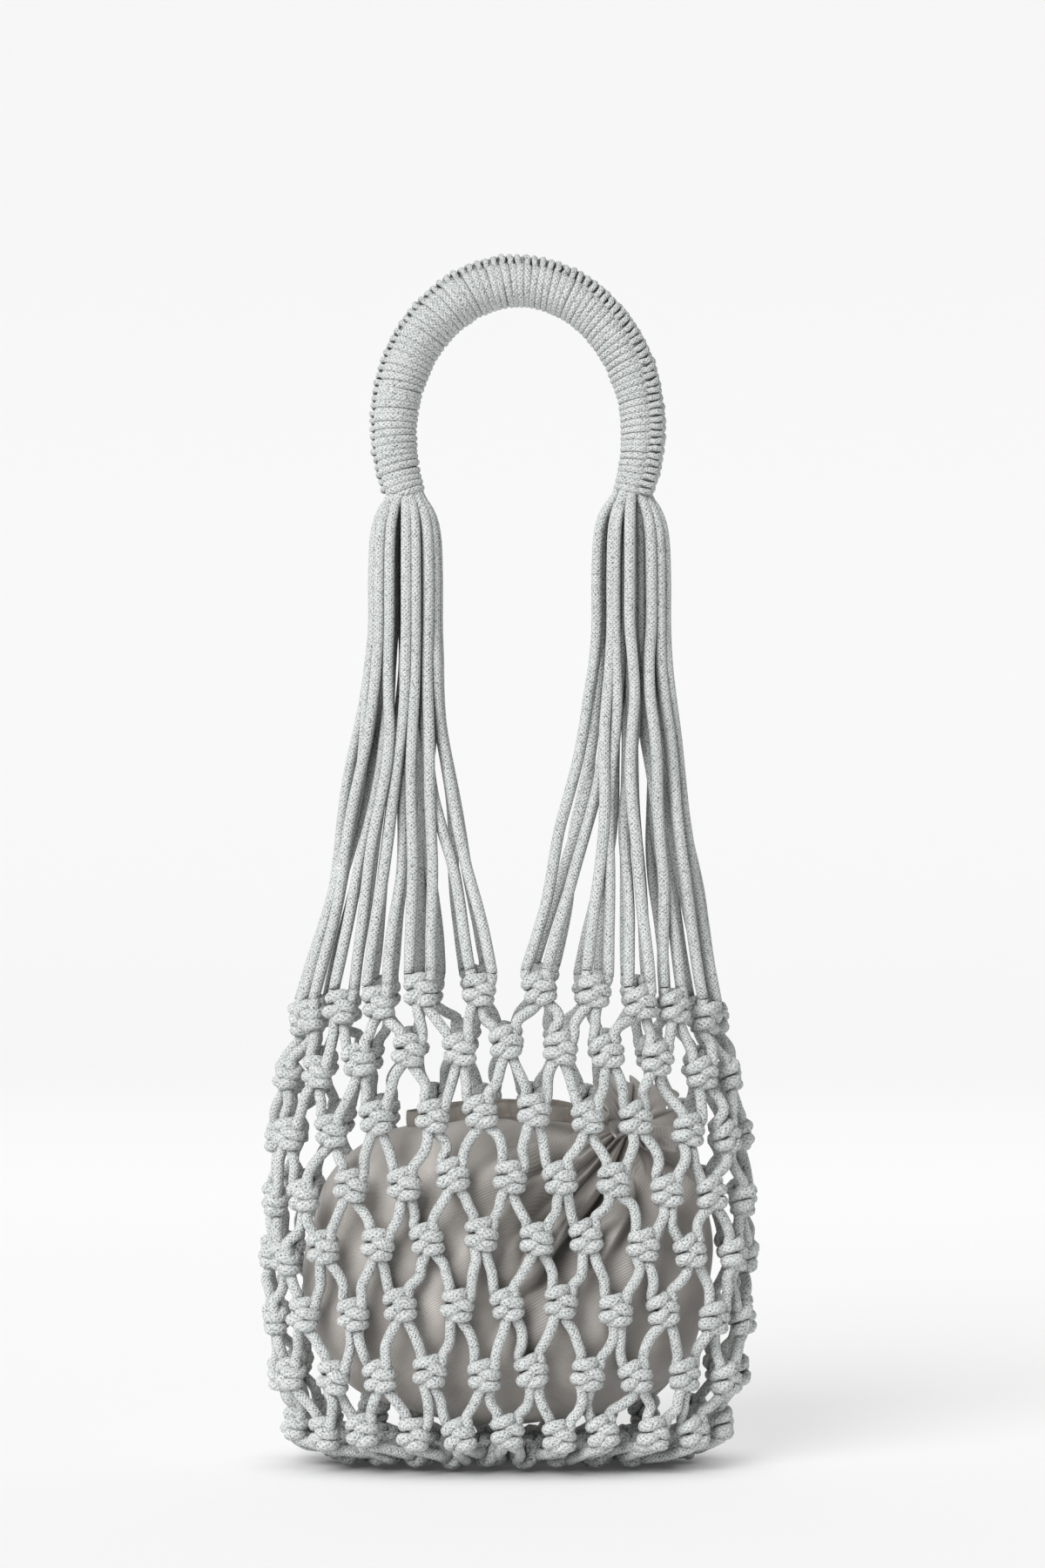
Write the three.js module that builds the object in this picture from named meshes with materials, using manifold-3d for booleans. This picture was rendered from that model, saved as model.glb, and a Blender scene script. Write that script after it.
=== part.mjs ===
// A macrame shoulder bag: a padded handle wound with cord, two bundles of bare strands, a knotted net
// with a closed base, and a gathered cloth pouch with a flat drawstring inside the net.
// Millimetres, +Z up, front towards -Y. The origin is the inner crown of the handle, where the bag hangs.
import * as THREE from "three";
import { mergeVertices } from "three/addons/utils/BufferGeometryUtils.js";
import Module from "manifold-3d";

// Sizes shared by several pieces
const CORD_WIDTH = 5;
const TOUCH_GAP = 0.3;
const FULL_TURN = 2 * Math.PI;

// Handle, an elliptical arch that comes back in below its widest point
const ARCH_HALF_WIDTH = 59.6;
const ARCH_HALF_HEIGHT = 71.7;
const ARCH_UNDERCUT_DEGREES = 25.5;
const GRIP_THICKNESS = 24.6;
const HANDLE_END_THICKNESS = 19.6;
const RIDGE_HEIGHT = 1.4;
const RIDGE_TURN_DEGREES = 50;
const HANDLE_TAPER = 2.5;
const HANDLE_SIDES = 11;
const HANDLE_STEPS = 22;

// Bundles of strands below the handle
const BUNDLE_WIDTH = 35;
const BUNDLE_DEPTH = 31;
const BUNDLE_LENGTH = 72;
const BUNDLE_SIDES = 12;
const BUNDLE_OPENING_DEGREES = 160;

// Knotted net
const COLUMN_COUNT = 22;
const NET_TOP_DROP = 323.4;
const ROW_PITCH = 30.5;
const NET_HALF_WIDTH = 113;
const NET_HALF_DEPTH = 49;
const NET_SHIFT = -4.8;
const NET_SQUARENESS = 2.5;
const KNOT_WIDTH = 14.4;
const KNOT_HEIGHT = 16.4;
const KNOT_DEPTH = 12;
const KNOT_WANDER = 1.3;
const BASE_DROP = 16.5;
const BASE_INSET = 12;
const BASE_TURN_INSET = 3;
const BASE_RIM_DROP = 4.1;
const BASE_SIDES = 32;

// Pouch and its gathered mouth
const CLOTH_THICKNESS = 1.5;
const POUCH_SIDE_ROOM = 10;
const POUCH_HEIGHT = 163;
const POUCH_SQUARENESS = 2.6;
const POUCH_SIDES = 24;
const SHOULDER_DEGREES = 17;
const NECK_RADIUS = 13;
const RUFFLE_RADIUS = 24;
const RUFFLE_LENGTH = 13;
const PLEAT_DEPTH = 3;
const FOLD_DEPTH = 8;

// Drawstring, a flat tape
const TAPE_WIDTH = 7.5;
const TAPE_THICKNESS = 1.2;
const TAPE_SIDES = 8;
const TAPE_STEPS = 22;

// Each row of knots from the top. width and depth are shares of the net's half width and half depth,
// and sag is how far the row hangs lower at its sides, as a share of the row pitch.
const NET_ROWS = [
  { width: 0.875, depth: 0.9, sag: 0.55 },
  { width: 0.937, depth: 0.95, sag: 0.52 },
  { width: 0.975, depth: 0.98, sag: 0.45 },
  { width: 0.993, depth: 1.0, sag: 0.4 },
  { width: 1.0, depth: 1.0, sag: 0.32 },
  { width: 0.99, depth: 1.0, sag: 0.28 },
  { width: 0.962, depth: 0.98, sag: 0.2 },
  { width: 0.9, depth: 0.93, sag: 0.1 },
];

// The rim of a knot seen from outside, anticlockwise, as shares of its half width and half height.
// Cords leave through four of its sides, the two lower ones side by side, and the others are closed.
const KNOT_RIM = [
  { across: 0.42, up: 1.0 },
  { across: -0.42, up: 1.0 },
  { across: -1.0, up: 0.55 },
  { across: -0.8, up: -0.68 },
  { across: 0.0, up: -1.0 },
  { across: 0.8, up: -0.68 },
  { across: 1.0, up: 0.55 },
];
const PORTS = {
  upperLeft: [1, 2],
  lowerLeft: [3, 4],
  lowerRight: [4, 5],
  upperRight: [6, 0],
};
const CLOSED_SIDES = [
  [0, 1],
  [2, 3],
  [5, 6],
];

// Sections of a bundle below the handle's end: along is a share of its length, size of its width and
// depth, and level how far the section has turned from the handle's end face to the horizontal
const BUNDLE_SECTIONS = [
  { along: 0.0, size: 0.5, level: 0 },
  { along: 0.07, size: 0.74, level: 0.4 },
  { along: 0.18, size: 0.92, level: 1 },
  { along: 0.4, size: 1.0, level: 1 },
  { along: 0.8, size: 1.0, level: 1 },
  { along: 1.0, size: 0.9, level: 1 },
];

// Strands part from the bundle at shares of its length and of its half width and half depth.
// Every third one starts nearer the middle.
const STRAND_START = { along: 0.85, outer: 0.8, inner: 0.36 };

// How far a strand has spread towards its knot: down and out are shares of the way
const STRAND_SPREAD = [
  { down: 0.0, out: 0.0 },
  { down: 0.3, out: 0.12 },
  { down: 0.58, out: 0.34 },
  { down: 0.82, out: 0.7 },
  { down: 1.0, out: 1.0 },
];

// Folds that run from the mouth over the pouch. turn is a share of the way round the neck from the front,
// deep a share of the fold depth, and reach a share of the way from the mouth to the far end.
const POUCH_FOLDS = [
  { turn: 0.0, deep: 0.9, reach: 0.55 },
  { turn: 0.09, deep: 0.6, reach: 0.4 },
  { turn: 0.21, deep: 0.5, reach: 0.3 },
  { turn: 0.45, deep: 0.6, reach: 0.35 },
  { turn: 0.62, deep: 0.5, reach: 0.3 },
  { turn: 0.88, deep: 1.0, reach: 0.6 },
];
const FOLD_HALF_TURN = 0.06;

// Rings of the pouch's body, as shares of the way from its far end to the mouth
const POUCH_BODY_SHARES = [0.06, 0.16, 0.27, 0.38, 0.49, 0.6, 0.71, 0.82, 0.92, 1];

// The mouth points up to the right, a little forward
const MOUTH_DIRECTION = new THREE.Vector3(0.64, -0.12, 0.76).normalize();

// The tape's route in its own list of points, from the front of the neck over the pouch and back
const TAPE_ROUTE = [
  [38, -18, -386.6],
  [29, -17.5, -385.5],
  [18, -15.5, -384.7],
  [6, -13.5, -383.5],
  [-8, -12.5, -383.3],
  [-22, -13, -384.2],
  [-33, -15, -385.9],
  [-42, -15.5, -387.2],
  [-50, -10, -387.9],
  [-53.5, 0, -387.9],
  [-50, 10, -387.9],
  [-42, 15.5, -386.6],
  [-33, 15.5, -385.1],
  [-22, 13.5, -383.9],
  [-10, 12, -383.2],
  [3, 11.5, -383.5],
  [16, 11.5, -383.4],
  [27, 10, -385.4],
  [35.5, 6, -386.3],
];

const wasm = await Module();
wasm.setup();

function solidOf(geometry) {
  const bare = geometry.clone();
  bare.deleteAttribute("normal");
  bare.deleteAttribute("uv");
  const merged = mergeVertices(bare, 1e-4);
  return new wasm.Manifold(
    new wasm.Mesh({
      numProp: 3,
      vertProperties: new Float32Array(merged.attributes.position.array),
      triVerts: new Uint32Array(merged.index.array),
    }),
  );
}

function geometryOf(solid) {
  const mesh = solid.getMesh();
  const geometry = new THREE.BufferGeometry();
  geometry.setAttribute("position", new THREE.BufferAttribute(mesh.vertProperties, mesh.numProp));
  geometry.setIndex(new THREE.BufferAttribute(mesh.triVerts, 1));
  return geometry;
}

// A closed body through rings of points, each ring anticlockwise seen from the end of the loft
function loft(rings) {
  const count = rings[0].length;
  const corners = rings.flat().flatMap((point) => point.toArray());
  const faces = [];
  for (let level = 0; level < rings.length - 1; level += 1) {
    for (let side = 0; side < count; side += 1) {
      const here = level * count + side;
      const next = level * count + ((side + 1) % count);
      faces.push(here, next, next + count, here, next + count, here + count);
    }
  }
  const last = (rings.length - 1) * count;
  for (let side = 1; side < count - 1; side += 1) {
    faces.push(0, side + 1, side);
    faces.push(last, last + side, last + side + 1);
  }
  const geometry = new THREE.BufferGeometry();
  geometry.setAttribute("position", new THREE.Float32BufferAttribute(corners, 3));
  geometry.setIndex(faces);
  return geometry;
}

// A ring of an oval section in the plane of two unit vectors
function ovalRing(centre, across, up, halfWidth, halfHeight, sides) {
  return Array.from({ length: sides }, (_, side) => {
    const angle = (side / sides) * FULL_TURN;
    return centre
      .clone()
      .addScaledVector(across, halfWidth * Math.cos(angle))
      .addScaledVector(up, halfHeight * Math.sin(angle));
  });
}

// Handle

const archCentreDrop = ARCH_HALF_HEIGHT - GRIP_THICKNESS / 2;
const archEnd = THREE.MathUtils.degToRad(ARCH_UNDERCUT_DEGREES);

// The arch's centre line, its outward direction and its direction of travel at an angle from the right side
function archFrame(angle) {
  const centre = new THREE.Vector3(
    ARCH_HALF_WIDTH * Math.cos(angle),
    0,
    ARCH_HALF_HEIGHT * Math.sin(angle) - archCentreDrop,
  );
  const outward = new THREE.Vector3(
    ARCH_HALF_HEIGHT * Math.cos(angle),
    0,
    ARCH_HALF_WIDTH * Math.sin(angle),
  ).normalize();
  return { centre, outward };
}

function handleWrap() {
  const back = new THREE.Vector3(0, 1, 0);
  const rings = [];
  for (let step = 0; step <= HANDLE_STEPS; step += 1) {
    const share = step / HANDLE_STEPS;
    const angle = THREE.MathUtils.lerp(-archEnd, Math.PI + archEnd, share);
    const fromCrown = Math.abs(2 * share - 1);
    const thickness = THREE.MathUtils.lerp(GRIP_THICKNESS, HANDLE_END_THICKNESS, fromCrown ** HANDLE_TAPER);
    const ridgeTurn = -THREE.MathUtils.degToRad(RIDGE_TURN_DEGREES) * Math.max(0, 1 - 2 * share);
    const { centre, outward } = archFrame(angle);
    const towardRidge = outward.clone().applyAxisAngle(new THREE.Vector3().crossVectors(outward, back), ridgeTurn);
    const besideRidge = back.clone().applyAxisAngle(new THREE.Vector3().crossVectors(outward, back), ridgeTurn);
    const ring = ovalRing(centre, towardRidge, besideRidge, thickness / 2, thickness / 2, HANDLE_SIDES);
    ring[0].addScaledVector(towardRidge, RIDGE_HEIGHT);
    rings.push(ring);
  }
  return loft(rings);
}

// Knot places

const lastRow = NET_ROWS.length - 1;

class NetOutline extends THREE.Curve {
  constructor(halfWidth, halfDepth) {
    super();
    this.halfWidth = halfWidth;
    this.halfDepth = halfDepth;
    this.arcLengthDivisions = 720;
  }

  // From the front centre round by the right side
  getPoint(share, target = new THREE.Vector3()) {
    const sideways = Math.sin(share * FULL_TURN);
    const forwards = Math.cos(share * FULL_TURN);
    const power = 2 / NET_SQUARENESS;
    return target.set(
      NET_SHIFT + this.halfWidth * Math.sign(sideways) * Math.abs(sideways) ** power,
      -this.halfDepth * Math.sign(forwards) * Math.abs(forwards) ** power,
      0,
    );
  }
}

// A repeatable value from -1 to 1, because knots tied by hand are never quite even
function wander(row, column, salt) {
  return Math.sin(5.1 * row + 3.7 * column + 2.3 * salt + 1);
}

const outlines = NET_ROWS.map(
  (row) => new NetOutline(row.width * NET_HALF_WIDTH, row.depth * NET_HALF_DEPTH),
);

function knotFrame(row, column) {
  const offset = row % 2 === 0 ? 0.5 : 0;
  const share = (((column + offset) / COLUMN_COUNT) % 1 + 1) % 1;
  const centre = outlines[row].getPointAt(share);
  const across = outlines[row].getTangentAt(share);
  const sideShare = (centre.x - NET_SHIFT) / outlines[row].halfWidth;
  centre.z = -NET_TOP_DROP - ROW_PITCH * (row + NET_ROWS[row].sag * sideShare ** 2);
  centre.z += KNOT_WANDER * wander(row, column, 1);
  centre.addScaledVector(across, KNOT_WANDER * wander(row, column, 2));
  const up = new THREE.Vector3(0, 0, 1);
  const outward = new THREE.Vector3().crossVectors(across, up);
  return { centre, across, up, outward };
}

function knotRim(frame, outwardShift) {
  return KNOT_RIM.map((corner) =>
    frame.centre
      .clone()
      .addScaledVector(frame.across, (corner.across * KNOT_WIDTH) / 2)
      .addScaledVector(frame.up, (corner.up * KNOT_HEIGHT) / 2)
      .addScaledVector(frame.outward, outwardShift),
  );
}

// The four corners of a cord's end on a knot, anticlockwise seen from outside the knot
function portCorners(frame, port) {
  const front = knotRim(frame, CORD_WIDTH / 2);
  const behind = knotRim(frame, -CORD_WIDTH / 2);
  const [first, second] = PORTS[port];
  return [front[first], behind[first], behind[second], front[second]];
}

// Strands

const bundleTop = archFrame(-archEnd);

// side is 1 on the right and -1 on the left
function bundleRing(side, section) {
  const endTilt = side * Math.atan2(bundleTop.outward.z, bundleTop.outward.x);
  const tilt = THREE.MathUtils.lerp(endTilt, 0, section.level);
  const centre = bundleTop.centre.clone();
  centre.x *= side;
  centre.z -= TOUCH_GAP + section.along * BUNDLE_LENGTH;
  const across = new THREE.Vector3(Math.cos(tilt), 0, Math.sin(tilt));
  const back = new THREE.Vector3(0, 1, 0);
  const halfWidth = (section.size * BUNDLE_WIDTH) / 2;
  const halfDepth = (section.size * BUNDLE_DEPTH) / 2;
  return ovalRing(centre, across, back, halfWidth, halfDepth, BUNDLE_SIDES).reverse();
}

function bundle(side) {
  return loft(BUNDLE_SECTIONS.map((section) => bundleRing(side, section)));
}

// Where a strand parts from its bundle. order runs from 0 for the front centre of the bag
// round the outer side to 1 for the back centre.
function strandStart(side, order, depthShare) {
  const opening = THREE.MathUtils.degToRad(BUNDLE_OPENING_DEGREES);
  const turn = THREE.MathUtils.lerp(-opening, opening, order);
  const start = bundleTop.centre.clone();
  start.x = side * (start.x + ((depthShare * BUNDLE_WIDTH) / 2) * Math.cos(turn));
  start.y = ((depthShare * BUNDLE_DEPTH) / 2) * Math.sin(turn);
  start.z -= BUNDLE_LENGTH * STRAND_START.along;
  return start;
}

// A strand as a square bar from its bundle to just above the port of a knot in the first row
function strand(start, frame, port) {
  const end = portCorners(frame, port);
  const middle = end.reduce((sum, corner) => sum.add(corner), new THREE.Vector3()).divideScalar(end.length);
  const gap = middle.clone().sub(frame.centre).setLength(TOUCH_GAP);
  const reach = start.clone().sub(middle);
  const rings = STRAND_SPREAD.map(({ down, out }) => {
    const shift = new THREE.Vector3(reach.x * (1 - out), reach.y * (1 - out), reach.z * (1 - down));
    return end.map((corner) => corner.clone().add(gap).add(shift));
  });
  return loft(rings.reverse());
}

function strands(side) {
  const half = COLUMN_COUNT / 2;
  let solid = solidOf(bundle(side));
  for (let place = 0; place < half; place += 1) {
    const column = side > 0 ? place : COLUMN_COUNT - 1 - place;
    const frame = knotFrame(0, column);
    const ports = side > 0 ? ["upperLeft", "upperRight"] : ["upperRight", "upperLeft"];
    ports.forEach((port, second) => {
      const count = 2 * place + second;
      const depthShare = count % 3 === 1 ? STRAND_START.inner : STRAND_START.outer;
      const start = strandStart(side, count / (COLUMN_COUNT - 1), depthShare);
      solid = solid.add(solidOf(strand(start, frame, port)));
    });
  }
  return geometryOf(solid);
}

// Net

function net() {
  const corners = [];
  const faces = [];
  const rimCount = KNOT_RIM.length;
  const perKnot = 2 * rimCount + 2;
  const knotStart = (row, column) => (row * COLUMN_COUNT + ((column + COLUMN_COUNT) % COLUMN_COUNT)) * perKnot;
  const frontCorner = (row, column, corner) => knotStart(row, column) + corner;
  const backCorner = (row, column, corner) => knotStart(row, column) + rimCount + corner;
  const quad = (a, b, c, d) => faces.push(a, b, c, a, c, d);
  // The wall of a knot's side between two rim corners, seen from outside the knot
  const closeSide = (row, column, first, second) =>
    quad(
      frontCorner(row, column, first),
      backCorner(row, column, first),
      backCorner(row, column, second),
      frontCorner(row, column, second),
    );
  // A cord from a port of an upper knot to a port of a lower one
  const cord = (upper, upperPort, lower, lowerPort) => {
    const [upperFirst, upperSecond] = PORTS[upperPort];
    const [lowerFirst, lowerSecond] = PORTS[lowerPort];
    const a = frontCorner(...upper, upperFirst);
    const b = backCorner(...upper, upperFirst);
    const c = backCorner(...upper, upperSecond);
    const d = frontCorner(...upper, upperSecond);
    const e = frontCorner(...lower, lowerSecond);
    const f = backCorner(...lower, lowerSecond);
    const g = backCorner(...lower, lowerFirst);
    const h = frontCorner(...lower, lowerFirst);
    quad(a, b, f, e);
    quad(b, c, g, f);
    quad(c, d, h, g);
    quad(d, a, e, h);
  };
  for (let row = 0; row <= lastRow; row += 1) {
    for (let column = 0; column < COLUMN_COUNT; column += 1) {
      const frame = knotFrame(row, column);
      knotRim(frame, CORD_WIDTH / 2).forEach((corner) => corners.push(...corner.toArray()));
      knotRim(frame, -CORD_WIDTH / 2).forEach((corner) => corners.push(...corner.toArray()));
      corners.push(...frame.centre.clone().addScaledVector(frame.outward, KNOT_DEPTH / 2).toArray());
      corners.push(...frame.centre.clone().addScaledVector(frame.outward, -KNOT_DEPTH / 2).toArray());
      const frontTop = knotStart(row, column) + 2 * rimCount;
      for (let corner = 0; corner < rimCount; corner += 1) {
        const next = (corner + 1) % rimCount;
        faces.push(frontTop, frontCorner(row, column, corner), frontCorner(row, column, next));
        faces.push(frontTop + 1, backCorner(row, column, next), backCorner(row, column, corner));
      }
      CLOSED_SIDES.forEach((side) => closeSide(row, column, ...side));
      const shift = row % 2 === 0 ? 1 : 0;
      if (row === 0) {
        closeSide(row, column, ...PORTS.upperLeft);
        closeSide(row, column, ...PORTS.upperRight);
      }
      if (row === lastRow) {
        closeSide(row, column, ...PORTS.lowerLeft);
        closeSide(row, column, ...PORTS.lowerRight);
      } else {
        cord([row, column], "lowerLeft", [row + 1, column - 1 + shift], "upperRight");
        cord([row, column], "lowerRight", [row + 1, column + shift], "upperLeft");
      }
    }
  }
  const geometry = new THREE.BufferGeometry();
  geometry.setAttribute("position", new THREE.Float32BufferAttribute(corners, 3));
  geometry.setIndex(faces);
  return geometry;
}

// Base of the net, a closed dish as thick as the cord

const lastKnotHeight = -NET_TOP_DROP - ROW_PITCH * lastRow;
const baseUnderside = lastKnotHeight - BASE_DROP;
const baseFloor = baseUnderside + CORD_WIDTH;

function baseRing(inset, height) {
  const row = outlines[lastRow];
  const wall = CORD_WIDTH / 2 - inset;
  const outline = new NetOutline(row.halfWidth + wall, row.halfDepth + wall);
  return Array.from({ length: BASE_SIDES }, (_, side) => {
    const point = outline.getPointAt(side / BASE_SIDES);
    return point.setZ(height);
  });
}

function base() {
  const rim = lastKnotHeight - BASE_RIM_DROP;
  const turnUp = baseUnderside + CORD_WIDTH;
  return loft([
    baseRing(BASE_INSET, baseUnderside),
    baseRing(BASE_TURN_INSET, turnUp),
    baseRing(0, rim),
    baseRing(CORD_WIDTH, rim),
    baseRing(CORD_WIDTH + BASE_TURN_INSET, turnUp + CORD_WIDTH / 2),
    baseRing(CORD_WIDTH + BASE_INSET, baseFloor),
  ]);
}

function knottedNet() {
  return geometryOf(solidOf(net()).add(solidOf(base())));
}

// Pouch

const pouchHalfWidth = NET_HALF_WIDTH - KNOT_DEPTH / 2 - POUCH_SIDE_ROOM;
const pouchHalfDepth = NET_HALF_DEPTH - KNOT_DEPTH / 2 - TOUCH_GAP;
const pouchHalfHeight = POUCH_HEIGHT / 2;
const pouchCentre = new THREE.Vector3(NET_SHIFT, 0, baseFloor + TOUCH_GAP + pouchHalfHeight);

// The pouch's reach from its centre in a direction
function pouchReach(direction, inset) {
  const sizes = [pouchHalfWidth - inset, pouchHalfDepth - inset, pouchHalfHeight - inset];
  const sum = direction
    .toArray()
    .reduce((total, part, axis) => total + Math.abs(part / sizes[axis]) ** POUCH_SQUARENESS, 0);
  return sum ** (-1 / POUCH_SQUARENESS);
}

const mouthFront = new THREE.Vector3(0, -1, 0).projectOnPlane(MOUTH_DIRECTION).normalize();
const mouthSide = new THREE.Vector3().crossVectors(MOUTH_DIRECTION, mouthFront);
const neckReach = pouchReach(MOUTH_DIRECTION, 0);

// How far apart two shares of a turn are, the shorter way round
function turnBetween(first, second) {
  const apart = Math.abs(first - second);
  return Math.min(apart, 1 - apart);
}

// How deep the folds press in, at a share of a turn round the neck and of the way from the far end
function foldDepth(turn, along) {
  return POUCH_FOLDS.reduce((total, fold) => {
    const aside = turnBetween(turn, fold.turn) / FOLD_HALF_TURN;
    const start = 1 - fold.reach;
    const strength = THREE.MathUtils.smoothstep(along, start, 1) * Math.max(0, 1 - aside);
    return total + FOLD_DEPTH * fold.deep * strength;
  }, 0);
}

function pouchBodyRing(along, inset) {
  const polar = THREE.MathUtils.lerp(Math.PI, THREE.MathUtils.degToRad(SHOULDER_DEGREES), along);
  return Array.from({ length: POUCH_SIDES }, (_, side) => {
    const turn = side / POUCH_SIDES;
    const direction = MOUTH_DIRECTION.clone()
      .multiplyScalar(Math.cos(polar))
      .addScaledVector(mouthFront, Math.sin(polar) * Math.cos(turn * FULL_TURN))
      .addScaledVector(mouthSide, Math.sin(polar) * Math.sin(turn * FULL_TURN));
    const reach = pouchReach(direction, inset) - foldDepth(turn, along);
    return pouchCentre.clone().addScaledVector(direction, reach);
  });
}

function pouchNeckRing(beyondNeck, radius, inset) {
  return Array.from({ length: POUCH_SIDES }, (_, side) => {
    const angle = (side / POUCH_SIDES) * FULL_TURN;
    const pleat = side % 2 === 0 ? 0 : -PLEAT_DEPTH;
    const reach = radius + pleat - inset;
    return pouchCentre
      .clone()
      .addScaledVector(MOUTH_DIRECTION, neckReach + beyondNeck)
      .addScaledVector(mouthFront, reach * Math.cos(angle))
      .addScaledVector(mouthSide, reach * Math.sin(angle));
  });
}

// The rings from the far end to the lip of the ruffle
function pouchSkin(inset) {
  const halfway = (NECK_RADIUS + RUFFLE_RADIUS) / 2;
  return [
    ...POUCH_BODY_SHARES.map((along) => pouchBodyRing(along, inset)),
    pouchNeckRing(0, NECK_RADIUS, inset),
    pouchNeckRing(RUFFLE_LENGTH / 2, halfway, inset),
    pouchNeckRing(RUFFLE_LENGTH, RUFFLE_RADIUS, inset),
  ];
}

function fabricPouch() {
  return loft([...pouchSkin(0), ...pouchSkin(CLOTH_THICKNESS).reverse()]);
}

// Drawstring

function drawstring() {
  const route = new THREE.CatmullRomCurve3(TAPE_ROUTE.map((point) => new THREE.Vector3(...point)));
  const halfWidth = TAPE_WIDTH / 2;
  const halfThickness = TAPE_THICKNESS / 2;
  const section = new THREE.Shape(
    Array.from({ length: TAPE_SIDES }, (_, corner) => {
      const angle = ((corner + 0.5) / TAPE_SIDES) * FULL_TURN;
      return new THREE.Vector2(halfThickness * Math.cos(angle), halfWidth * Math.sin(angle));
    }),
  );
  return new THREE.ExtrudeGeometry(section, { steps: TAPE_STEPS, bevelEnabled: false, extrudePath: route });
}

// Assembly

const cotton = { color: 0xc6cccd, roughness: 0.95, metalness: 0 };
const satinTwill = { color: 0x8f8983, roughness: 0.7, metalness: 0 };
const tape = { color: 0x7d766f, roughness: 0.75, metalness: 0 };

const group = new THREE.Group();

function addPiece(name, geometry, finish) {
  const mesh = new THREE.Mesh(geometry, new THREE.MeshStandardMaterial(finish));
  mesh.name = name;
  group.add(mesh);
}

addPiece("handle_wrap", handleWrap(), cotton);
addPiece("strands_left", strands(-1), cotton);
addPiece("strands_right", strands(1), cotton);
addPiece("knotted_net", knottedNet(), cotton);
addPiece("fabric_pouch", fabricPouch(), satinTwill);
addPiece("drawstring", drawstring(), tape);

export default group;
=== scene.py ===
import math
import bpy
import numpy as np
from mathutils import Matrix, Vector


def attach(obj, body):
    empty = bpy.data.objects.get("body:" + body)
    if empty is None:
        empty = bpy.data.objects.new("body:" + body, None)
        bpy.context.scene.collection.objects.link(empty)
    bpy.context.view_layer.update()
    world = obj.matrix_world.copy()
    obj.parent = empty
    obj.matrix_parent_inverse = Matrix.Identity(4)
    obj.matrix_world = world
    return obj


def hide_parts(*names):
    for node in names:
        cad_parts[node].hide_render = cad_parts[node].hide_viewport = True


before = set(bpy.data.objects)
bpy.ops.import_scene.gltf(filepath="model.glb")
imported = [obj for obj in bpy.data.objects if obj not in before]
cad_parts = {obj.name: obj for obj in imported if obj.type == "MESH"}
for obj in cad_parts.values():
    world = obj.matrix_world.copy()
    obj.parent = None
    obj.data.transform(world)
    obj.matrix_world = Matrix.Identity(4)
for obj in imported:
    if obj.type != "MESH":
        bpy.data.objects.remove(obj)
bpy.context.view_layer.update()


# Camera
# The photograph is taken through a long lens from straight in front, level with the lower part of the
# bare strands. One pixel of its 1200 by 1800 frame is 0.4167 mm at the bag.

MM = 0.001
PIXEL = 0.4167 * MM
FRAME_PIXELS_HIGH = 1800
CAMERA_DISTANCE = 1800 * MM
CAMERA_HEIGHT = -262 * MM
VIEW_CENTRE = Vector((1.7 * MM, 0, -228.3 * MM))
SENSOR_HEIGHT_MM = 24

lens = bpy.data.cameras.new("camera")
camera = bpy.data.objects.new("camera", lens)
bpy.context.scene.collection.objects.link(camera)
camera.location = (VIEW_CENTRE.x, -CAMERA_DISTANCE, CAMERA_HEIGHT)
camera.rotation_euler = (VIEW_CENTRE - camera.location).to_track_quat("-Z", "Y").to_euler()
lens.sensor_fit = "VERTICAL"
lens.sensor_height = SENSOR_HEIGHT_MM
lens.lens = SENSOR_HEIGHT_MM * CAMERA_DISTANCE / (FRAME_PIXELS_HIGH * PIXEL)
bpy.context.scene.camera = camera


# Drawstring
# A flat woven cotton tape that runs in the hem of the pouch's mouth and gathers it.
# Its free loop stands on edge over the top of the pouch and goes back into the hem.

TAPE_WIDTH = 7.5
TAPE_THICKNESS = 1.0
TAPE_SIDES = 12
TAPE_STEP = 3.0
TAPE_ROUTE = [
    (38, -18, -386.6),
    (29, -17.5, -385.5),
    (18, -15.5, -384.7),
    (6, -13.5, -383.5),
    (-8, -12.5, -383.3),
    (-22, -13, -384.2),
    (-33, -15, -385.9),
    (-42, -15.5, -387.2),
    (-50, -10, -387.9),
    (-53.5, 0, -387.9),
    (-50, 10, -387.9),
    (-42, 15.5, -386.6),
    (-33, 15.5, -385.1),
    (-22, 13.5, -383.9),
    (-10, 12, -383.2),
    (3, 11.5, -383.5),
    (16, 11.5, -383.4),
    (27, 10, -385.4),
    (35.5, 6, -386.3),
]


def linear(hex_colour):
    """An sRGB hex colour as linear red, green, blue and alpha."""
    channels = [int(hex_colour[i:i + 2], 16) / 255 for i in (1, 3, 5)]
    return [c / 12.92 if c <= 0.04045 else ((c + 0.055) / 1.055) ** 2.4 for c in channels] + [1.0]


def add_node(tree, kind, settings=None, links=None):
    """Add a node, set its sockets or properties, and link its named inputs."""
    node = tree.nodes.new(kind)
    for name, value in (settings or {}).items():
        if isinstance(name, int) or name in node.inputs:
            node.inputs[name].default_value = value
        else:
            setattr(node, name, value)
    for name, source in (links or {}).items():
        tree.links.new(source, node.inputs[name])
    return node


def new_material(name):
    """A material with its node tree and its main shader."""
    material = bpy.data.materials.new(name)
    material.use_nodes = True
    shader = material.node_tree.nodes["Principled BSDF"]
    return material, material.node_tree, shader


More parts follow.
